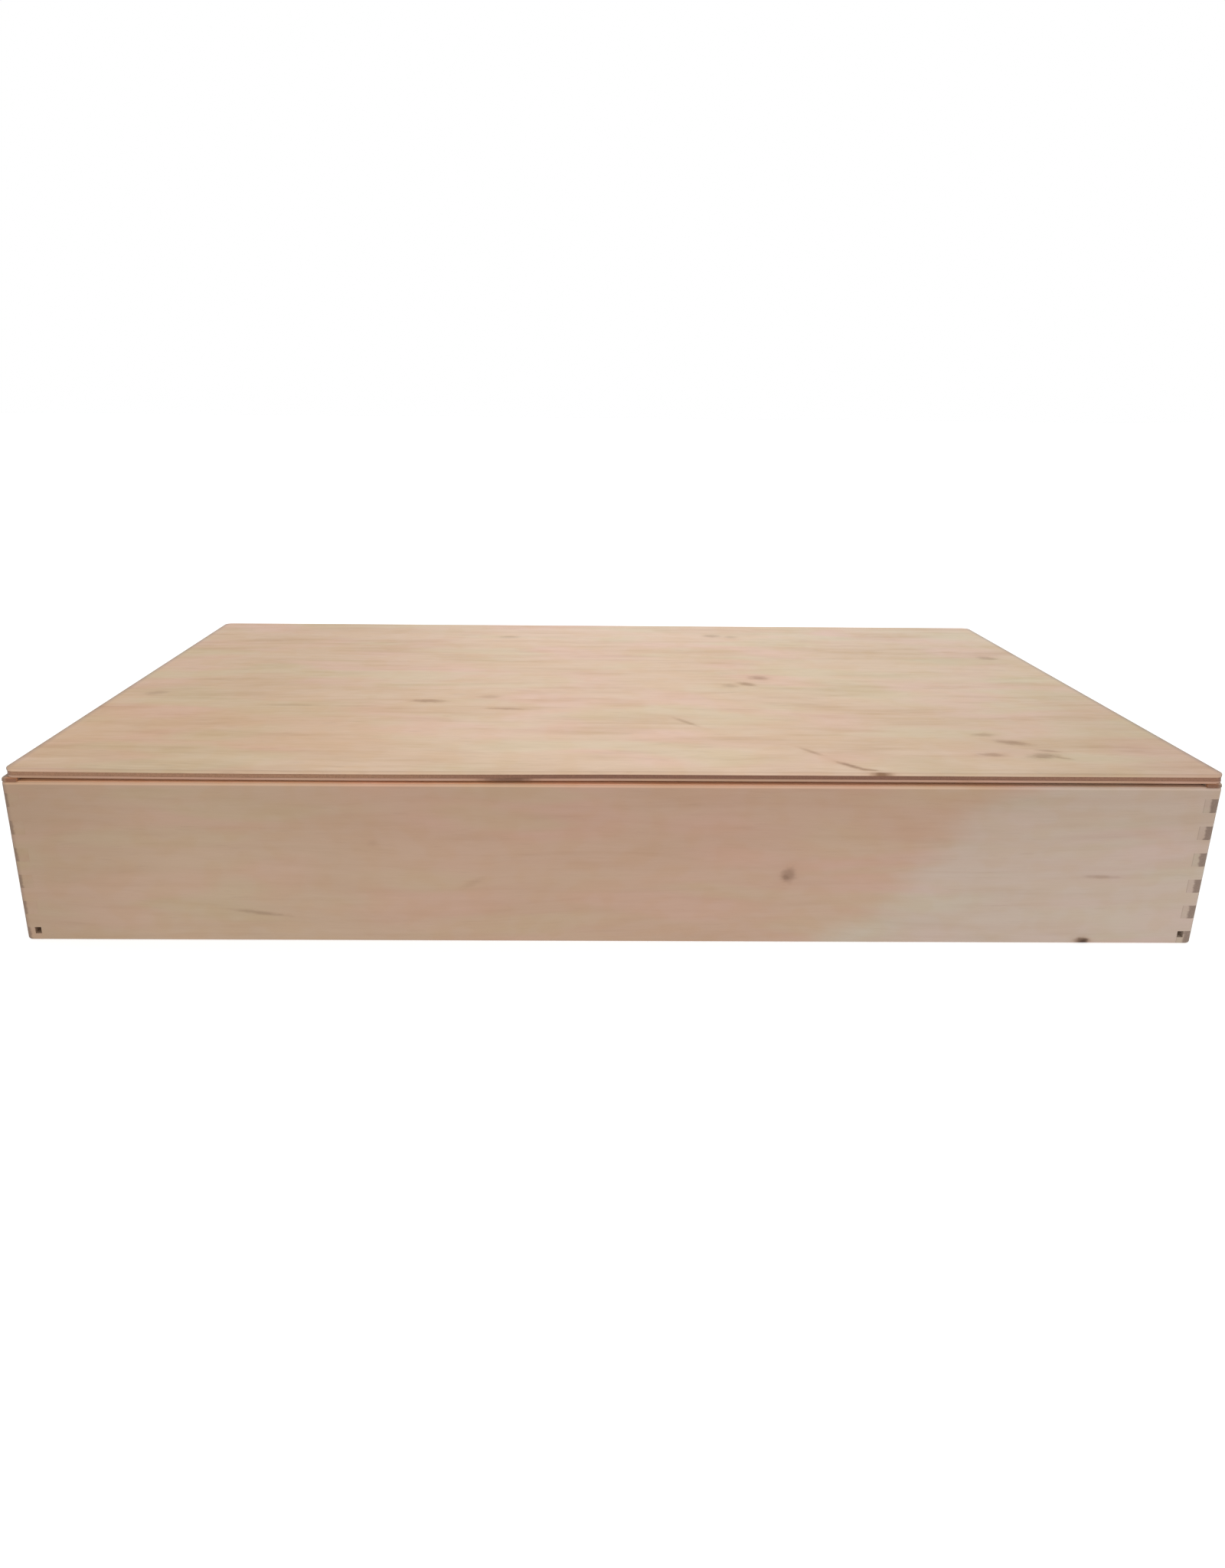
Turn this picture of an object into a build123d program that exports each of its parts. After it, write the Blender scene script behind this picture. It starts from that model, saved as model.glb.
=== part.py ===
from build123d import *
import os

# Shallow apple box of thin boards: finger-jointed walls, a bottom let into a groove, a centre
# brace, and a loose lid that lifts off. Front face at -Y, underside at Z = 0, origin at the
# middle of the footprint. Everything is in millimetres.

# Box
box_length = 508.0          # along X
box_width = 305.0           # along Y
front_height = 72.7         # front and rear boards
wall = 7.0                  # thickness of all four boards
finger = 6.15               # height of one finger of the corner joints
finger_count = 12           # fingers from bottom to top, the last one cut short by the rim
corner_ease = 2.6           # rounding of the upright corners
rim_ease = 1.2              # rounding of the outer top edges
foot_ease = 1.0             # rounding of the outer bottom edges

# Lid
lid_gap = 1.7               # end boards and brace stand this much above the front board
lid_length = 506.1
lid_width = 305.0
lid_thickness = 4.0
lid_corner = 4.5            # rounding of the lid's corners seen from above
lid_top_ease = 0.6
lid_bottom_ease = 0.4
lid_shift = 0.95            # the loose lid lies this far to the right in its play
lid_play = 1.5              # gap around the battens when the lid is centred
batten_width = 20.0
batten_height = 8.0
batten_lead = 1.2           # chamfer that guides the battens into the box

# Bottom, brace and runner
groove_level = 3.1          # underside of the bottom panel
groove_depth = 2.7
panel_thickness = 3.0
panel_bite = 2.5            # how far the bottom panel reaches into the grooves
brace_thickness = 6.0
housing_depth = 2.0         # slots in the front and rear boards that take the brace
housing_top = 60.0          # the slots stop here, below the rim
runner_width = 20.0
runner_gap = 0.3            # between the runner's ends and the boards
runner_ease = 0.5

# Hand holes
hand_hole_length = 100.0
hand_hole_height = 28.0
hand_hole_level = 45.0      # height of the middle of the hole
hand_hole_ease = 2.0

# Brads
brad_head_radius = 1.2
brad_head_height = 0.5
brad_shank_radius = 0.6
brad_tip = 1.5              # length of the point
brad_recess = 0.2           # heads are set this far below the wood
runner_brad_length = 16.0
runner_brad_pitch = 65.0
runner_brad_count = 5
lid_brad_length = 10.0
lid_brad_pitch = 84.0
lid_brad_count = 4          # in each batten

# Worked out from the above
inner_length = box_length - 2 * wall
inner_width = box_width - 2 * wall
end_height = front_height + lid_gap
brace_bottom = groove_level + panel_thickness
batten_bottom = end_height - batten_height
batten_length = inner_width - 2 * lid_play
batten_reach = inner_length / 2 - lid_play - batten_width / 2

on_bottom = (Align.CENTER, Align.CENTER, Align.MIN)
on_baseline = (Align.CENTER, Align.MIN)

os.makedirs("parts", exist_ok=True)


def save(part, name):
    """Label the finished piece and write it to its own file."""
    part.label = name
    export_step(part, f"parts/{name}.step")


def eased_outline(height):
    """The whole box as one block with sanded outer edges, which the boards are cut back to."""
    with BuildPart() as block:
        Box(box_length, box_width, height, align=on_bottom)
        fillet(block.edges().filter_by(Axis.Z), corner_ease)
        fillet(block.faces().sort_by(Axis.Z)[-1].edges(), rim_ease)
        fillet(block.faces().sort_by(Axis.Z)[0].edges(), foot_ease)
    return block.part


def board_face(length, height, slots):
    """Face of a board, with finger slots cut into both of its ends."""
    with BuildSketch() as face:
        Rectangle(length, height, align=on_baseline)
        for low, tall in slots:
            with Locations((-length / 2, low), (length / 2, low)):
                Rectangle(2 * wall, tall, align=on_baseline, mode=Mode.SUBTRACT)
    return face.sketch


# The end boards' fingers start at the bottom. The top finger belongs to the front and rear
# boards, and the end boards, which are a little taller, pass over it.
long_slots = [(k * finger, finger) for k in range(0, finger_count, 2)]
end_slots = [(k * finger, finger) for k in range(1, finger_count - 1, 2)]
top_slot_low = (finger_count - 1) * finger
end_slots.append((top_slot_low, front_height - top_slot_low))


def long_board(side):
    """Front board at side -1, rear board at side +1."""
    with BuildPart() as board:
        with BuildSketch(Plane.XZ.offset(-side * box_width / 2)):
            add(board_face(box_length, front_height, long_slots))
        extrude(amount=side * wall)
        add(eased_outline(front_height), mode=Mode.INTERSECT)
        with Locations((0, side * (inner_width + groove_depth) / 2, groove_level)):
            Box(inner_length, groove_depth, panel_thickness, align=on_bottom, mode=Mode.SUBTRACT)
        with Locations((0, side * (inner_width + housing_depth) / 2, brace_bottom)):
            Box(brace_thickness, housing_depth, housing_top - brace_bottom, align=on_bottom, mode=Mode.SUBTRACT)
    return board.part


def end_board(side):
    """Left end board at side -1, right end board at side +1."""
    with BuildPart() as board:
        with BuildSketch(Plane.YZ.offset(side * box_length / 2)):
            add(board_face(box_width, end_height, end_slots))
            with Locations((0, hand_hole_level)):
                SlotOverall(hand_hole_length, hand_hole_height, mode=Mode.SUBTRACT)
        extrude(amount=-side * wall)
        hole_edges = board.edges().filter_by(Axis.X, reverse=True).filter_by(
            lambda edge: abs(edge.center().Y) <= hand_hole_length / 2
            and abs(edge.center().Z - hand_hole_level) <= hand_hole_height / 2
        )
        fillet(hole_edges, hand_hole_ease)
        add(eased_outline(end_height), mode=Mode.INTERSECT)
        with Locations((side * (inner_length + groove_depth) / 2, 0, groove_level)):
            Box(groove_depth, box_width, panel_thickness, align=on_bottom, mode=Mode.SUBTRACT)
    return board.part


save(long_board(-1), "front_board")
save(long_board(1), "rear_board")
save(end_board(-1), "left_end_board")
save(end_board(1), "right_end_board")


def row_along_y(x, pitch, count):
    """Evenly spaced points at one X, centred on Y = 0."""
    return [(x, (k - (count - 1) / 2) * pitch) for k in range(count)]


def one_brad(length):
    """A brad standing on its head at the origin, point upwards."""
    with BuildPart() as brad:
        with BuildSketch(Plane.XZ):
            with BuildLine():
                Polyline(
                    (0, 0),
                    (brad_head_radius, 0),
                    (brad_head_radius, brad_head_height),
                    (brad_shank_radius, brad_head_height),
                    (brad_shank_radius, length - brad_tip),
                    (0, length),
                    close=True,
                )
            make_face()
        revolve(axis=Axis.Z)
    return brad.part


def brad_row(points, surface, length):
    """Separate brads driven up into the underside of the wood at the height of surface."""
    with BuildPart() as row:
        with Locations(*[(x, y, surface + brad_recess) for x, y in points]):
            add(one_brad(length))
    return row.part


def head_pockets(points, surface):
    """The short holes that the set brad heads leave in the wood."""
    with BuildPart() as pockets:
        with Locations(*[(x, y, surface) for x, y in points]):
            Cylinder(brad_head_radius, brad_recess, align=on_bottom)
    return pockets.part


# Bottom: panel in the grooves, runner under it, brace on top, and the brads through all three.
runner_points = row_along_y(0, runner_brad_pitch, runner_brad_count)
runner_brads = brad_row(runner_points, 0, runner_brad_length)
save(runner_brads, "runner_brads")

with BuildPart() as bottom_runner:
    Box(runner_width, inner_width - 2 * runner_gap, groove_level, align=on_bottom)
    fillet(bottom_runner.faces().sort_by(Axis.Z)[0].edges(), runner_ease)
    add(runner_brads, mode=Mode.SUBTRACT)
    add(head_pockets(runner_points, 0), mode=Mode.SUBTRACT)
save(bottom_runner.part, "bottom_runner")

with BuildPart() as bottom_panel:
    with Locations((0, 0, groove_level)):
        Box(inner_length + 2 * panel_bite, inner_width + 2 * panel_bite, panel_thickness, align=on_bottom)
    add(runner_brads, mode=Mode.SUBTRACT)
save(bottom_panel.part, "bottom_panel")

with BuildPart() as centre_brace:
    with BuildSketch(Plane.YZ.offset(-brace_thickness / 2)):
        with Locations((0, brace_bottom)):
            Rectangle(inner_width, end_height - brace_bottom, align=on_baseline)
            Rectangle(inner_width + 2 * housing_depth, housing_top - brace_bottom, align=on_baseline)
    extrude(amount=brace_thickness)
    add(runner_brads, mode=Mode.SUBTRACT)
save(centre_brace.part, "centre_brace")

# Lid: three-ply sheet with a batten under each end, which drops inside the box.
left_points = row_along_y(lid_shift - batten_reach, lid_brad_pitch, lid_brad_count)
right_points = row_along_y(lid_shift + batten_reach, lid_brad_pitch, lid_brad_count)
lid_brads = brad_row(left_points + right_points, batten_bottom, lid_brad_length)
save(lid_brads, "lid_brads")

with BuildPart() as lid_panel:
    with BuildSketch(Plane.XY.offset(end_height)):
        with Locations((lid_shift, 0)):
            RectangleRounded(lid_length, lid_width, lid_corner)
    extrude(amount=lid_thickness)
    fillet(lid_panel.faces().sort_by(Axis.Z)[-1].edges(), lid_top_ease)
    fillet(lid_panel.faces().sort_by(Axis.Z)[0].edges(), lid_bottom_ease)
    add(lid_brads, mode=Mode.SUBTRACT)
save(lid_panel.part, "lid_panel")


def lid_batten(points):
    """Strip under the lid along a row of brads."""
    with BuildPart() as batten:
        with Locations((points[0][0], 0, batten_bottom)):
            Box(batten_width, batten_length, batten_height, align=on_bottom)
        chamfer(batten.faces().sort_by(Axis.Z)[0].edges(), batten_lead)
        add(lid_brads, mode=Mode.SUBTRACT)
        add(head_pockets(points, batten_bottom), mode=Mode.SUBTRACT)
    return batten.part


save(lid_batten(left_points), "left_lid_batten")
save(lid_batten(right_points), "right_lid_batten")
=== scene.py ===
"""Looks for the lidded apple box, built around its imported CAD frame.

Blender works in metres in the CAD frame: +X to the right, front face at -Y, +Z up.
Shaders work in millimetres in the same frame.
"""
import math

import bmesh
import bpy
from mathutils import Matrix, Vector, noise


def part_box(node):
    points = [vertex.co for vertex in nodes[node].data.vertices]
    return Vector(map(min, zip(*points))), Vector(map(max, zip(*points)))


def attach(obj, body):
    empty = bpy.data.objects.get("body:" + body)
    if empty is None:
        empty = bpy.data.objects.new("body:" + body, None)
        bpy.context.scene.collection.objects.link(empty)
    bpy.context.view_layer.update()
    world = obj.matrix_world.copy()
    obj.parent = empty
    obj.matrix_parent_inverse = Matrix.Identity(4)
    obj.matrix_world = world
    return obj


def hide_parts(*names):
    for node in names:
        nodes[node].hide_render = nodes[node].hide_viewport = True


MM = 0.001

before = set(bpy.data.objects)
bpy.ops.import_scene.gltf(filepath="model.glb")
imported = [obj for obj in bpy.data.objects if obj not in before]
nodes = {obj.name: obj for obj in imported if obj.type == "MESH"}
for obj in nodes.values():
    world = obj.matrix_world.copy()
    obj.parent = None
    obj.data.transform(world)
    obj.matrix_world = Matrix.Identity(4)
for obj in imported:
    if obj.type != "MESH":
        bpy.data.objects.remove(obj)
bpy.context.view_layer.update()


# ---------------------------------------------------------------- camera and light

def add_camera():
    """Camera a little left of the box's middle, above it and close, with a slightly off-centre lens."""
    pitch, yaw, roll = math.radians(18.72), math.radians(0.67), math.radians(0.52)
    place = Vector((-0.0204, -0.5697, 0.2229))
    turn = Matrix.Rotation(-yaw, 4, "Z") @ Matrix.Rotation(math.pi / 2 - pitch, 4, "X")
    lens = bpy.data.cameras.new("camera")
    lens.lens = 24.57
    lens.sensor_width = 36.0
    lens.shift_x = 0.0217
    lens.shift_y = -0.0124
    lens.clip_start = 0.01
    camera = bpy.data.objects.new("camera", lens)
    camera.matrix_world = Matrix.Translation(place) @ turn @ Matrix.Rotation(roll, 4, "Z")
    bpy.context.scene.collection.objects.link(camera)
    bpy.context.scene.camera = camera


def add_sun(tilt, strength, softness):
    """Soft white sunlight from the front, tilted in degrees from straight down."""
    lamp = bpy.data.lights.new("key", "SUN")
    lamp.energy = strength
    lamp.angle = math.radians(softness)
    light = bpy.data.objects.new("key", lamp)
    light.matrix_world = Matrix.Rotation(math.radians(tilt), 4, "X")
    bpy.context.scene.collection.objects.link(light)


def add_world():
    """Even white surroundings, as in a light tent."""
    world = bpy.data.worlds.new("studio")
    world.use_nodes = True
    background = world.node_tree.nodes["Background"]
    background.inputs["Color"].default_value = (1.0, 1.0, 1.0, 1.0)
    background.inputs["Strength"].default_value = 1.0
    bpy.context.scene.world = world


# ---------------------------------------------------------------- shader building

def tone(red, green, blue):
    """Linear colour from everyday 0 to 255 values."""
    return tuple(((c / 255 + 0.055) / 1.055) ** 2.4 for c in (red, green, blue)) + (1.0,)


class Field:
    """A value that varies over the surface: one node's output, with plain arithmetic on it."""

    def __init__(self, shader, socket):
        self.shader = shader
        self.socket = socket

    def __add__(self, other):
        return self.shader.math("ADD", self, other)

    def __sub__(self, other):
        return self.shader.math("SUBTRACT", self, other)

    def __rsub__(self, other):
        return self.shader.math("SUBTRACT", other, self)

    def __mul__(self, other):
        return self.shader.math("MULTIPLY", self, other)

    def __truediv__(self, other):
        return self.shader.math("DIVIDE", self, other)

    def __abs__(self):
        return self.shader.math("ABSOLUTE", self)

    __radd__ = __add__
    __rmul__ = __mul__


class Shader:
    """One material under construction. Its methods add nodes and return Fields."""

    def __init__(self, name):
        self.material = bpy.data.materials.new(name)
        self.material.use_nodes = True
        self.tree = self.material.node_tree
        self.tree.nodes.clear()

    def add(self, kind, inputs=None, output=0, **settings):
        node = self.tree.nodes.new("ShaderNode" + kind)
        for key, value in settings.items():
            setattr(node, key, value)
        for key, source in (inputs or {}).items():
            if isinstance(source, Field):
                self.tree.links.new(source.socket, node.inputs[key])
            else:
                node.inputs[key].default_value = source
        return Field(self, node.outputs[output])

    def math(self, operation, a, b=0.0):
        return self.add("Math", {0: a, 1: b}, operation=operation)

    def larger(self, a, b):
        return self.math("MAXIMUM", a, b)

    def vector(self, x, y, z=0.0):
        return self.add("CombineXYZ", {0: x, 1: y, 2: z})

    def split(self, vector):
        node = self.add("SeparateXYZ", {0: vector}).socket.node
        return [Field(self, output) for output in node.outputs]

    def place(self):
        """X, Y and Z of the surface point in millimetres."""
        metres = self.add("TexCoord", output=3)
        return self.split(self.add("VectorMath", {0: metres, 3: 1 / MM}, operation="SCALE"))

    def facing(self):
        """X, Y and Z of the direction that the surface faces."""
        return self.split(self.add("TexCoord", output=1))

    def mix(self, share, a, b, blend="MIX"):
        """Colour a with a share of colour b."""
        return self.add("Mix", {0: share, 6: a, 7: b}, output=2, data_type="RGBA", blend_type=blend)

    def shade(self, colour, amount):
        """Colour darkened or lightened by a factor."""
        return self.mix(1.0, colour, self.vector(amount, amount, amount), blend="MULTIPLY")

    def wash(self, colour, share, red, green, blue):
        """Colour with a share of a thin wash over it that scales red, green and blue."""
        return self.mix(share, colour, (red, green, blue, 1.0), blend="MULTIPLY")

    def noise(self, x, y, z=0.0, detail=2.0, roughness=0.5):
        inputs = {"Vector": self.vector(x, y, z), "Scale": 1.0, "Detail": detail, "Roughness": roughness}
        return self.add("TexNoise", inputs)

    def step(self, value, low, high, to_low=0.0, to_high=1.0):
        """Smooth step from to_low at low to to_high at high."""
        inputs = {"Value": value, "From Min": low, "From Max": high, "To Min": to_low, "To Max": to_high}
        return self.add("MapRange", inputs, interpolation_type="SMOOTHSTEP")

    def oval(self, x, y, mark):
        """Distance from a mark's middle, as a share of the way to its edge."""
        along, beside, length, width, turn, _ = mark
        inputs = {
            "Vector": self.vector(x, y),
            "Location": (along, beside, 0),
            "Rotation": (0, 0, math.radians(turn)),
            "Scale": (length / 2, width / 2, 1),
        }
        local = self.add("Mapping", inputs, vector_type="TEXTURE")
        return self.add("VectorMath", {0: local}, output=1, operation="LENGTH")

    def finish(self, colour, roughness, height, depth, metallic=0.0, specular=0.35):
        """Close the material as a principled surface. depth is the bump's full height in metres."""
        bump = self.add("Bump", {"Height": height, "Strength": 1.0, "Distance": depth})
        inputs = {"Base Color": colour, "Roughness": roughness, "Normal": bump}
        surface = self.add("BsdfPrincipled", inputs)
        surface.socket.node.inputs["Metallic"].default_value = metallic
        surface.socket.node.inputs["Specular IOR Level"].default_value = specular
        output = self.tree.nodes.new("ShaderNodeOutputMaterial")
        self.tree.links.new(surface.socket, output.inputs["Surface"])
        return self.material


# ---------------------------------------------------------------- wood

def figured(shader, u, v, w, seed, tones, figure, spread):
    """Plain wood with its figure: the colour, and its streaks, fibres and flecks.

    u runs along the fibres, v beside them and w through the board, in millimetres.
    """
    # Grain lines drift slowly; bands, streaks, fibres and flecks follow the drifted lines.
    drift = shader.noise(u / 240, v / 70, w / 70 + seed, detail=2)
    line = (v + (drift - 0.5) * 22) / spread
    layer = w / spread + seed * 7
    bands = shader.noise(u / 300, line / 8, layer / 9, detail=4, roughness=0.62)
    streaks = shader.noise(u / 50, line / 2.8, layer / 2.8, detail=3, roughness=0.5)
    broad = shader.noise(u / 60, line / 9, layer / 9 + 11, detail=2, roughness=0.5)
    fibres = shader.noise(u / 9, line / 0.35, layer / 0.35, detail=2)
    flecks = shader.step(shader.noise(u / 14, line / 0.75, layer / 0.75 + 57, detail=1), 0.66, 0.78)
    pink_patches = shader.noise(u / 62, line / 17, layer / 50 + 31, detail=1)
    pale_patches = shader.noise(u / 75, line / 13, layer / 50 + 83, detail=1)
    tan_patches = shader.noise(u / 12, line / 8, layer / 20 + 41, detail=1)

    dark_share = shader.step(bands, 0.34, 0.68, 0.5 - 0.5 * figure, 0.5 + 0.5 * figure)
    colour = shader.mix(dark_share, tones["light"], tones["dark"])
    colour = shader.mix(shader.step(pink_patches, 0.46, 0.68) * 0.8, colour, tones["pink"])
    colour = shader.mix(shader.step(pale_patches, 0.48, 0.68) * 0.8, colour, tones["pale"])
    colour = shader.wash(colour, shader.step(tan_patches, 0.4, 0.65), 0.99, 0.97, 0.93)
    colour = shader.wash(colour, shader.step(streaks, 0.48, 0.78, 0.0, figure), 0.91, 0.885, 0.86)
    colour = shader.wash(colour, shader.step(broad, 0.48, 0.68, 0.0, figure), 0.94, 0.92, 0.885)
    fibre_shade = shader.step(fibres, 0.25, 0.75, 1.0 + 0.025 * figure, 1.0 - 0.035 * figure)
    colour = shader.shade(colour, fibre_shade)
    colour = shader.shade(colour, 1.0 - flecks * (0.10 * figure))
    return colour, streaks, fibres, flecks


def marked(shader, u, v, seed, colour, marks, knot):
    """Colour with small knots and dark streaks, each an oval with a ragged edge and a soft halo."""
    ragged = (shader.noise(u / 3.2, v / 1.6, seed, detail=2) - 0.5) * 0.9
    for mark in marks:
        strength = mark[5]
        inside = shader.oval(u, v, mark) + ragged
        colour = shader.wash(colour, shader.step(inside, 2.4, 0.9, 0.0, strength), 0.96, 0.92, 0.89)
        colour = shader.wash(colour, shader.step(inside, 1.4, 0.2, 0.0, strength), *knot)
    return colour


def wood(name, grain, across, seed, tones, figure=1.0, spread=1.0, marks=(), tint=None, cut_ends=None):
    """Bare sanded wood.

    grain and across are the axis letters that the fibres run along and lie beside. figure is the
    strength of the grain, and spread widens its bands and patches. Each mark is a small knot or
    streak: (along mm, across mm, length mm, width mm, turn in degrees, strength).
    tint(shader, x, y, z, colour) may recolour the wood, and cut_ends(shader, x, y, z) says how much
    the cut fibre ends show.
    """
    shader = Shader(name)
    x, y, z = shader.place()
    place = {"X": x, "Y": y, "Z": z}
    facing = dict(zip("XYZ", shader.facing()))
    through = ({"X", "Y", "Z"} - {grain, across}).pop()
    u, v, w = place[grain], place[across], place[through]

    colour, streaks, fibres, flecks = figured(shader, u, v, w, seed, tones, figure, spread)
    colour = marked(shader, u, v, seed, colour, marks, tones["knot"])

    # Cut fibre ends: darker, with fine pores.
    pores = shader.noise(v / 0.45, w / 0.45, u / 6, detail=3, roughness=0.7)
    ends = shader.shade(tones["end"], shader.step(pores, 0.3, 0.7, 1.12, 0.8))
    end_share = shader.step(abs(facing[grain]), 0.5, 0.85)
    if cut_ends:
        end_share = end_share * cut_ends(shader, x, y, z)
    colour = shader.mix(end_share, colour, ends)
    if tint:
        colour = tint(shader, x, y, z, colour)

    roughness = shader.step(streaks + fibres * 0.5, 0.4, 1.1, 0.56, 0.72)
    height = fibres * 0.5 + streaks * 0.3 - flecks * 0.4
    return shader.finish(colour, roughness, height, depth=0.00006)


def steel(name):
    """Bright drawn wire with fine turning marks on the heads."""
    shader = Shader(name)
    x, y, z = shader.place()
    scratches = shader.noise(x / 0.1, y / 0.1, z / 2.0, detail=3)
    stains = shader.noise(x / 1.1, y / 1.1, z / 1.1, detail=2)
    colour = shader.mix(shader.step(stains, 0.45, 0.7), tone(176, 176, 178), tone(126, 120, 114))
    roughness = shader.step(scratches, 0.3, 0.7, 0.28, 0.5)
    return shader.finish(colour, roughness, scratches, depth=0.00002, metallic=1.0, specular=0.5)


def floor_paint():
    """White seamless floor, with some light of its own so that shadows on it stay faint."""
    shader = Shader("floor_paint")
    x, y, z = shader.place()
    mottle = shader.noise(x / 300, y / 300, 0.0, detail=2)
    colour = shader.mix(shader.step(mottle, 0.3, 0.7), tone(184, 184, 184), tone(187, 187, 187))
    material = shader.finish(colour, 0.8, mottle, depth=0.00001, specular=0.1)
    surface = material.node_tree.nodes["Principled BSDF"]
    surface.inputs["Emission Color"].default_value = (1.0, 1.0, 1.0, 1.0)
    surface.inputs["Emission Strength"].default_value = 0.64
    return material


# ---------------------------------------------------------------- colours of the boards and the lid

# A knot is a wash's factors for red, green and blue; the other entries are colours.
BOARD = {
    "light": tone(163, 136, 116),
    "dark": tone(158, 127, 106),
    "pink": tone(164, 132, 114),
    "pale": tone(160, 135, 112),
    "end": tone(112, 86, 70),
    "knot": (0.37, 0.29, 0.23),
}
LID = {
    "light": tone(215, 188, 164),
    "dark": tone(209, 180, 153),
    "pink": tone(217, 184, 166),
    "pale": tone(210, 190, 162),
    "end": tone(113, 77, 59),
    "knot": (0.45, 0.36, 0.28),
}

# Knots and streaks, in the order that wood() explains.
FRONT_MARKS = [
    (74.6, 32.2, 6.4, 7.4, -15, 0.5),
    (73.6, 31.0, 2.6, 3.0, 0, 0.25),
    (-152.0, 13.4, 25.0, 1.8, -7, 0.35),
    (209.0, 31.9, 16.0, 1.8, -2, 0.3),
    (205.6, 1.0, 7.0, 4.0, 0, 1.0),
    (206.2, 0.8, 4.4, 3.2, 0, 1.0),
    (-60.0, 28.0, 12.0, 3.0, 25, 0.12),
    (-102.0, 46.0, 5.0, 3.0, 0, 0.10),
]
REAR_MARKS = [
    (118.0, 44.0, 9.0, 6.0, 10, 0.5),
    (-64.0, 21.0, 34.0, 1.8, 3, 0.3),
    (-171.0, 53.0, 18.0, 1.8, -4, 0.25),
    (24.0, 11.0, 12.0, 3.0, 15, 0.15),
]
LID_MARKS = [
    (-91, -43.8, 18.7, 6.2, -4, 0.60),
    (-60, -35, 12.1, 6.8, 5, 0.30),
    (-51, -57.5, 18.7, 4.1, -4, 0.45),
    (-157, -53, 33.0, 3.0, 0, 0.28),
    (-125, -54, 26.4, 2.4, 0, 0.20),
    (86, 8.5, 12.1, 10.8, -10, 0.55),
    (77.3, -5.5, 11.0, 7.2, -46, 0.55),
    (67.5, -9.5, 8.8, 8.1, -20, 0.35),
    (36.5, -79, 18.0, 3.6, -54, 0.40),
    (87, -124, 13.0, 3.1, -56, 0.40),
    (99.5, -143, 15.0, 3.8, -48, 0.75),
    (106.5, -148.5, 8.8, 2.7, -12, 0.60),
    (110.4, -152.6, 9.0, 2.4, 0, 1.0),
    (172.8, -97.4, 12.1, 5.4, 6, 0.40),
    (181.5, -109.5, 17.6, 7.3, -24, 0.55),
    (165.2, -127, 13.2, 5.4, 2, 0.50),
    (187.5, -128.5, 14.3, 7.6, 14, 0.60),
    (192.5, -121, 11.0, 3.5, -14, 0.35),
    (195, -131, 9.9, 3.2, -30, 0.35),
    (233, 60.5, 12.1, 9.5, -20, 0.42),
    (74, 120, 12.1, 9.5, 0, 0.42),
    (86, 117, 8.8, 8.1, 0, 0.30),
    (-58, 113, 13.2, 8.1, 0, 0.32),
    (-233, -31, 12.1, 8.1, 20, 0.30),
]

box_low, box_high = [Vector(corner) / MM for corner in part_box("front_board")]
WALL = box_high.y - box_low.y       # thickness of the boards
SIDE = box_high.x                   # from the middle to the box's ends
FRONT = -box_low.y                  # from the middle to the box's front and rear
RIM = box_high.z                    # height of the front and rear boards
lid_low, lid_high = [Vector(corner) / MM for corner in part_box("lid_panel")]


def board_tint(shader, x, y, z, colour):
    """Greyer and browner at the left end, and paler beyond a slanting line on the right, with painted shade
    on the left end and painted floor light that makes the boards lighter and cooler towards the bottom.
    """
    wander = (shader.noise(x / 25, z / 14, 3.3, detail=3) - 0.5) * 14
    flare = shader.step(z, 16, 0, 0, 14) - shader.step(z, 60, 72, 0, 12)
    beyond = x - z * 0.75 - 104 + wander + flare
    colour = shader.wash(colour, shader.step(x, -180, -252), 0.90, 0.89, 0.87)
    colour = shader.wash(colour, shader.step(x, -60, -150), 0.97, 1.02, 1.0)
    colour = shader.wash(colour, shader.step(beyond, -15, 16), 1.01, 1.18, 1.31)
    # Painted light: the boards grow lighter and cooler towards the floor, as the floor's bounce would light
    # them.
    colour = shader.wash(colour, shader.step(z, 70, 35), 1.04, 1.04, 1.04)
    colour = shader.wash(colour, shader.step(z, 66, 0), 1.05, 1.09, 1.10)
    colour = shader.wash(colour, shader.step(z, 66, 40) * shader.step(x, 0, 90), 1.03, 1.03, 1.07)
    # Painted shade: the left end's face and its rounded corners are darker, as they turn away from the
    # light.
    return shader.wash(colour, shader.step(x, 3.0 - SIDE, 1.2 - SIDE), 0.80, 0.78, 0.80)


def front_tint(shader, x, y, z, colour):
    """As all the boards, with a painted highlight along the rim and painted light on the rim's top face, in
    the shade of the lid.
    """
    colour = board_tint(shader, x, y, z, colour)
    # Painted highlight: a lighter band down the rim's rounded edge, strongest at the left and middle, bluer
    # at the right.
    edge_band = shader.step(z, RIM - 1.5, RIM - 0.8)
    colour = shader.wash(colour, edge_band, 1.2, 1.15, 1.14)
    colour = shader.wash(colour, edge_band * shader.step(x, 200, 100), 1.18, 1.17, 1.15)
    colour = shader.wash(colour, edge_band * shader.step(x, 20, 110), 1.01, 1.05, 1.09)
    # Painted light: the rim's top face, which lies in the lid's shade, is made lighter, more so towards the
    # left.
    top = shader.step(z, RIM - 0.25, RIM - 0.05)
    colour = shader.wash(colour, top, 1.38, 1.31, 1.25)
    return shader.wash(colour, top * shader.step(x, 150, -60), 1.2, 1.2, 1.2)


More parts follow.
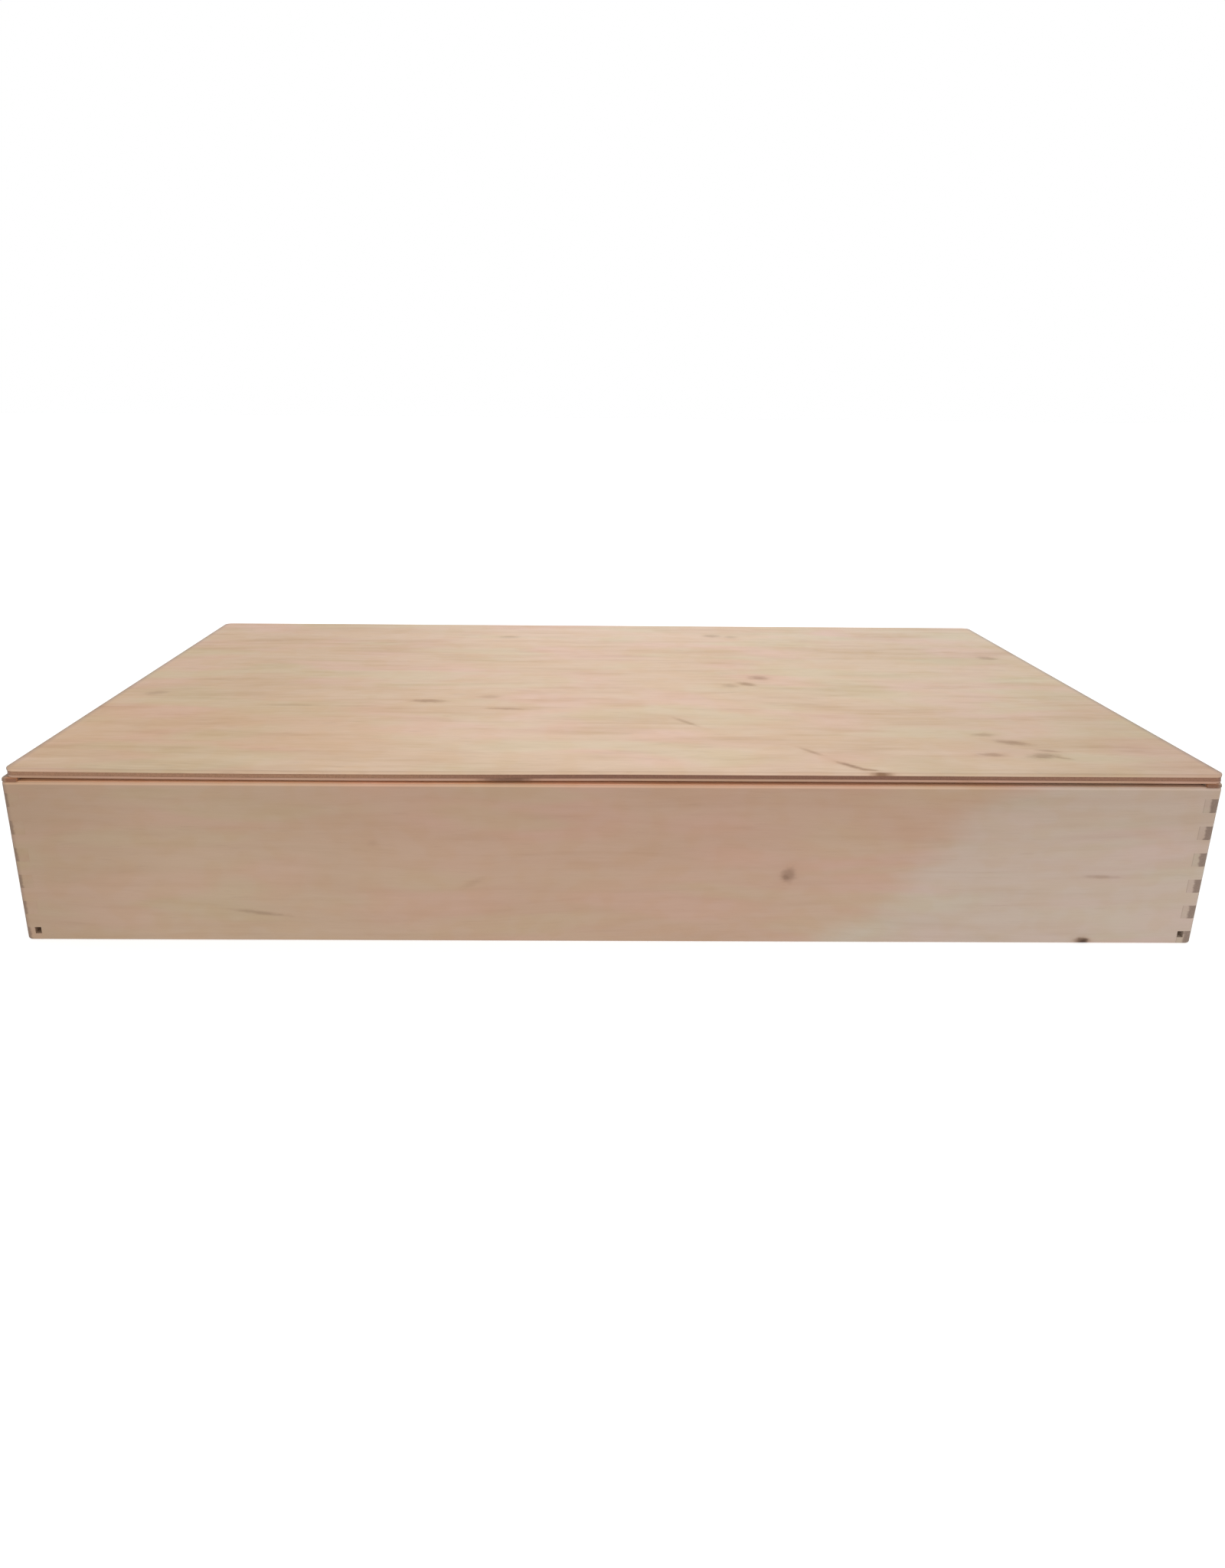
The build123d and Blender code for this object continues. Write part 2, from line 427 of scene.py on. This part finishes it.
def rear_tint(shader, x, y, z, colour):
    """Greyer than the front, paler towards -X, browner at the other end, with a painted highlight along the
    rim.
    """
    wander = (shader.noise(x / 60, z / 25, 6.1, detail=2) - 0.5) * 160
    colour = shader.wash(colour, 1.0, 1.05, 1.12, 1.15)
    colour = shader.wash(colour, shader.step(x + wander, 40, -190), 1.01, 1.07, 1.12)
    colour = shader.wash(colour, shader.step(x + wander, 120, 240), 0.95, 0.92, 0.89)
    # Painted highlight: a lighter band down the rim's rounded edge, as on the front board.
    return shader.wash(colour, shader.step(z, RIM - 1.5, RIM - 0.8), 1.2, 1.18, 1.18)


def over_rim(shader, x, z):
    """Where an end board stands above the front board's rim, apart from the box's very corner."""
    return shader.step(z, RIM - 0.2, RIM) * shader.step(SIDE - abs(x), 1.2, 3.2)


def end_tint(shader, x, y, z, colour):
    """As all the boards, with painted shade on the narrow fibre ends that face the gap under the lid, less
    dark towards the left.
    """
    colour = board_tint(shader, x, y, z, colour)
    # Painted shade: the fibre ends above the rim are darkened like the shadowed gap beside them, less so at
    # the left.
    painted_gap_shade = over_rim(shader, x, z) * shader.step(abs(y), FRONT - 2.0, FRONT - 1.4)
    colour = shader.wash(colour, painted_gap_shade, 1.0, 0.66, 0.48)
    return shader.wash(colour, painted_gap_shade * shader.step(x, 100, -100), 1.38, 1.5, 1.6)


def painted_end_shade(shader, x, y, z, colour):
    """The lid's two ends, greyed with painted shade where their eased edges turn away from the light."""
    beside = shader.larger(x - lid_high.x, lid_low.x - x)
    colour = shader.wash(colour, shader.step(beside, -3.8, -1.8), 0.88, 0.89, 0.94)
    return shader.wash(colour, shader.step(beside, -2.0, -0.6), 0.74, 0.77, 0.82)


def lid_tint(shader, x, y, z, colour):
    """Warmer and darker to the left, duller to the right and front, paler at the back; the darkening is
    partly the sheet's own tone and partly painted shade where light falls off towards its ends and front.

    A brown patch lies towards the front left, and the right end's front half is browner too.
    """
    # Partly the sheet's own tone and partly painted shade: darker towards the ends and the right front.
    colour = shader.wash(colour, shader.step(x, -20, -210), 0.82, 0.79, 0.73)
    colour = shader.wash(colour, shader.step(x, 40, 250), 0.89, 0.93, 0.92)
    colour = shader.wash(colour, shader.step(x, 20, 230) * shader.step(y, 20, -150), 0.90, 0.87, 0.84)
    colour = shader.wash(colour, shader.step(y, 40, 150), 1.04, 1.05, 1.10)
    brown = shader.step(x, -70, -120) * shader.step(y, -35, -65) * shader.step(y, -140, -115)
    colour = shader.wash(colour, brown, 0.98, 0.93, 0.89)
    colour = shader.wash(colour, shader.step(x, 205, 238) * shader.step(y, 10, -25), 0.95, 0.92, 0.91)
    colour = shader.wash(colour, shader.step(y, -151.0, -152.0), 0.84, 0.82, 0.82)
    return painted_end_shade(shader, x, y, z, colour)


def core_tint(shader, x, y, z, colour):
    """The core's cut ends, front and rear, are darkest around the middle and right of middle."""
    inward = shader.math("MINIMUM", x - lid_low.x, lid_high.x - x)
    cut = shader.step(inward, 0.8, 3.5)
    colour = shader.wash(colour, shader.step(x, -20, -110) * cut, 1.52, 1.75, 1.65)
    colour = shader.wash(colour, shader.step(x, 110, 230) * cut, 1.32, 1.42, 1.42)
    return painted_end_shade(shader, x, y, z, colour)


def back_tint(shader, x, y, z, colour):
    """The underside's veneer: its edge a little browner than the boards, its face as pale as the top."""
    facing_up = shader.facing()[2]
    colour = shader.wash(colour, 1.0, 1.02, 0.93, 0.93)
    colour = shader.wash(colour, shader.step(facing_up, -0.6, -0.9), 1.75, 2.05, 2.15)
    return painted_end_shade(shader, x, y, z, colour)


def end_wood(name, seed, strength, reach, glue):
    """End board, whose finger ends show at the box's corners.

    The ends are darkest at the corner, down to reach millimetres inwards, and a line of glue closes
    them. strength and glue say how plainly the ends and the glue show.
    """
    def finger_ends(shader, x, y, z):
        inward = SIDE - abs(x)
        ragged = (shader.noise(z / 1.5, y / 40, x / 40 + 5, detail=3) - 0.5) * 2.4
        edge_band = shader.step(inward + ragged, reach + 0.6, reach - 0.6, 0.3 * glue, 1.0)
        line = shader.step(inward, WALL - 0.5, WALL - 0.1, 0.0, glue)
        return shader.larger(shader.larger(edge_band, line) * strength, over_rim(shader, x, z))
    return wood(name, "Y", "Z", seed, BOARD, 0.35, tint=end_tint, cut_ends=finger_ends)


materials = {
    "front_board": wood("front_board_wood", "X", "Z", 1.3, BOARD, 0.35, marks=FRONT_MARKS, tint=front_tint),
    "rear_board": wood("rear_board_wood", "X", "Z", 4.9, BOARD, 0.5, marks=REAR_MARKS, tint=rear_tint),
    "left_end_board": end_wood("left_end_wood", 7.1, strength=0.6, reach=2.4, glue=0.12),
    "right_end_board": end_wood("right_end_wood", 9.7, strength=0.9, reach=4.2, glue=0.5),
    "bottom_panel": wood("bottom_wood", "X", "Y", 12.1, LID),
    "centre_brace": wood("brace_wood", "Y", "Z", 14.3, BOARD),
    "bottom_runner": wood("runner_wood", "Y", "X", 16.9, BOARD),
    "left_lid_batten": wood("left_batten_wood", "Y", "X", 18.2, BOARD),
    "right_lid_batten": wood("right_batten_wood", "Y", "X", 21.4, BOARD),
    "runner_brads": steel("runner_brad_steel"),
    "lid_brads": steel("lid_brad_steel"),
}
for name, material in materials.items():
    nodes[name].data.materials.clear()
    nodes[name].data.materials.append(material)


# ---------------------------------------------------------------- three-ply lid

LID_CORNER = 4.5            # the lid's sizes here are in millimetres, as in the CAD part
LID_TOP_EASE = 0.6
LID_BOTTOM_EASE = 0.4
BACK_VENEER = 1.1           # thickness; the face veneer takes what the other two plies leave
CORE = 1.7
LID_SAG = 0.5               # of the thin sheet's front edge, where the front board doesn't carry it
EDGE_STEP = 5.0             # distance between points along the lid's straight edges
CORNER_STEPS = 10           # faces around each of the lid's corners


def lid_outline(inset):
    """Points and outward directions around the lid's rounded rectangle, pulled in by inset."""
    middle = (lid_low + lid_high) / 2
    radius = LID_CORNER - inset if inset < LID_CORNER else 0.1
    reach_x = lid_high.x - middle.x - inset - radius
    reach_y = lid_high.y - middle.y - inset - radius
    centres = [(reach_x, reach_y), (-reach_x, reach_y), (-reach_x, -reach_y), (reach_x, -reach_y)]
    spots = []
    for quarter, (cx, cy) in enumerate(centres):
        for k in range(CORNER_STEPS + 1):
            angle = math.pi / 2 * (quarter + k / CORNER_STEPS)
            outward = Vector((math.cos(angle), math.sin(angle), 0))
            spots.append((Vector((middle.x + cx, middle.y + cy, 0)) + outward * radius, outward))
        next_x, next_y = centres[(quarter + 1) % 4]
        run = Vector((next_x - cx, next_y - cy, 0))
        start = spots[-1][0]
        count = round((lid_high - lid_low)[quarter % 2] / EDGE_STEP)
        for k in range(1, count):
            spots.append((start + run * (k / count), outward))
    return spots


def eased(level, ease, direction):
    """Heights and insets of a rounded edge that reaches level, above (+1) or below (-1) the wall."""
    steps = 5
    angles = [math.pi / 2 * k / steps for k in range(steps + 1)]
    return [(level - direction * ease * (1 - math.sin(a)), ease * (1 - math.cos(a))) for a in angles]


def sag(spot):
    """How far the lid hangs below its level at a point, between the left end board and the brace."""
    along = min(max(1 + spot.x / (SIDE - WALL), 0.0), 1.0)
    front = min(max(-spot.y / FRONT, 0.0), 1.0)
    return LID_SAG * math.sin(math.pi * along) * front * front


def ply(name, seed, profile, roughness, material):
    """Closed sheet of the lid's outline from a profile of (height, inset), lowest first.

    roughness is the depth in millimetres of the small dents in its edge, which seed varies.
    """
    shape = bmesh.new()
    rings = []
    for height, inset in profile:
        ring = []
        for spot, outward in lid_outline(inset):
            along = Vector((spot.x / 9, spot.y / 9, seed))
            dent = roughness * (0.5 + 0.5 * noise.noise(along))
            level = Vector((0, 0, height - sag(spot)))
            ring.append(shape.verts.new((spot - outward * dent + level) * MM))
        rings.append(ring)
    for lower, upper in zip(rings, rings[1:]):
        for k in range(len(lower)):
            j = (k + 1) % len(lower)
            shape.faces.new((lower[k], lower[j], upper[j], upper[k]))
    shape.faces.new(list(reversed(rings[0])))
    shape.faces.new(rings[-1])
    mesh = bpy.data.meshes.new(name)
    shape.to_mesh(mesh)
    shape.free()
    mesh.shade_smooth()
    mesh.set_sharp_from_angle(angle=math.radians(35))
    mesh.materials.append(material)
    piece = bpy.data.objects.new(name, mesh)
    bpy.context.scene.collection.objects.link(piece)
    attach(piece, "lid")
    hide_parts("lid_panel")


low, high = lid_low.z, lid_high.z
core_low = low + BACK_VENEER
core_high = core_low + CORE
margin = LID_TOP_EASE + 1.0  # how far in the flat faces start

# Marks on the lid's front edge. The core's grain runs the other way, so its marks swap axes.
EDGE_STAINS = [
    (-45.0, lid_low.y, 22.0, 6.0, 0, 0.9),
    (110.4, lid_low.y, 8.0, 5.0, 0, 0.9),
    (204.0, lid_low.y, 7.0, 4.0, 0, 0.7),
    (-169.7, lid_low.y, 4.0, 4.0, 0, 0.6),
]
core_stains = [(y, x, width, length, turn, strength) for x, y, length, width, turn, strength in EDGE_STAINS]
back_wood = wood("lid_back_wood", "X", "Y", 31.7, BOARD, 0.7, 2.0, EDGE_STAINS[:1], back_tint)
core_wood = wood("lid_core_wood", "Y", "X", 27.3, LID, 0.7, 2.0, core_stains, core_tint)
face_wood = wood("lid_face_wood", "X", "Y", 24.6, LID, 0.9, 2.0, LID_MARKS, lid_tint)
back_profile = [(low, margin)] + eased(low, LID_BOTTOM_EASE, -1)[::-1] + [(core_low, 0.0)]
face_profile = [(core_high, 0.0)] + eased(high, LID_TOP_EASE, 1) + [(high, margin)]
ply("lid_back_veneer", 15, back_profile, 0.06, back_wood)
ply("lid_core", 8, [(core_low, 0.06), (core_high, 0.06)], 0.14, core_wood)
ply("lid_face_veneer", 15, face_profile, 0.05, face_wood)


# ---------------------------------------------------------------- stage

bpy.ops.mesh.primitive_plane_add(size=30.0)
floor = bpy.context.object
floor.name = "floor"
floor.data.materials.append(floor_paint())

add_camera()
add_world()
add_sun(tilt=68.0, strength=0.55, softness=40.0)
bpy.context.scene.view_settings.view_transform = "Standard"
